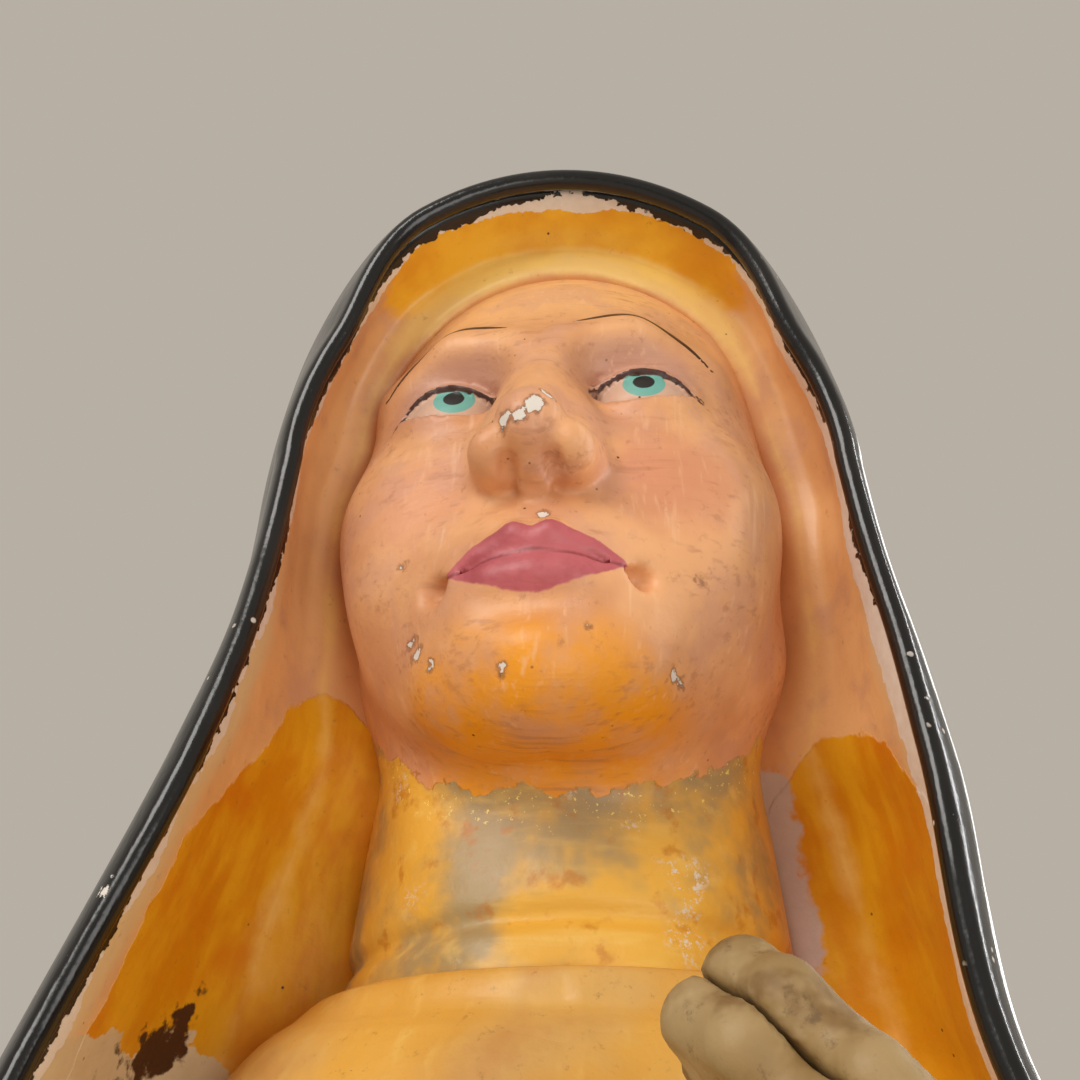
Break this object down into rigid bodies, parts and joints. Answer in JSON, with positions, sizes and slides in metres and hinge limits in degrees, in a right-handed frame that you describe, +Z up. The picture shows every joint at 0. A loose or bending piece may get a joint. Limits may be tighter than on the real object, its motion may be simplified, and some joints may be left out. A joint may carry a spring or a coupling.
{
  "type": "madonna statue",
  "caption": "Free-standing hollow plaster Madonna with an open mantle and joined hands, on an octagonal plinth.",
  "frame": {"origin": "centre of the resting face, on the floor under the plinth", "axes": "+Z up; the statue faces -Y, so its left side is +X"},
  "size_m": [0.19, 0.164, 0.6],
  "materials": {
    "felt_base": "matte",
    "base_board": "matte",
    "board_screws": "satin",
    "plinth_casting": "satin",
    "robe_front_casting": "satin",
    "robe_back_casting": "satin",
    "seam_scrim": "matte",
    "mantle_casting": "gloss",
    "mantle_keys": "matte",
    "head_casting": "satin",
    "coif_casting": "satin",
    "collar_casting": "satin",
    "sleeve_left": "satin",
    "sleeve_right": "satin",
    "hand_left": "satin",
    "hand_right": "satin",
    "hand_pins": "satin",
    "shoe_left": "satin",
    "shoe_right": "satin",
    "armature_rod": "satin",
    "rod_nuts": "satin",
    "rod_washers": "satin",
    "armature_battens": "matte"
  },
  "bodies": {
    "root": {"felt_base": "felt_base", "base_board": "base_board", "board_screws": "board_screws", "plinth_casting": "plinth_casting", "robe_front_casting": "robe_front_casting", "robe_back_casting": "robe_back_casting", "seam_scrim": "seam_scrim", "mantle_casting": "mantle_casting", "mantle_keys": "mantle_keys", "head_casting": "head_casting", "coif_casting": "coif_casting", "collar_casting": "collar_casting", "sleeve_left": "sleeve_left", "sleeve_right": "sleeve_right", "hand_left": "hand_left", "hand_right": "hand_right", "hand_pins": "hand_pins", "shoe_left": "shoe_left", "shoe_right": "shoe_right", "armature_rod": "armature_rod", "rod_nuts": "rod_nuts", "rod_washers": "rod_washers", "armature_battens": "armature_battens"}
  },
  "joints": []
}
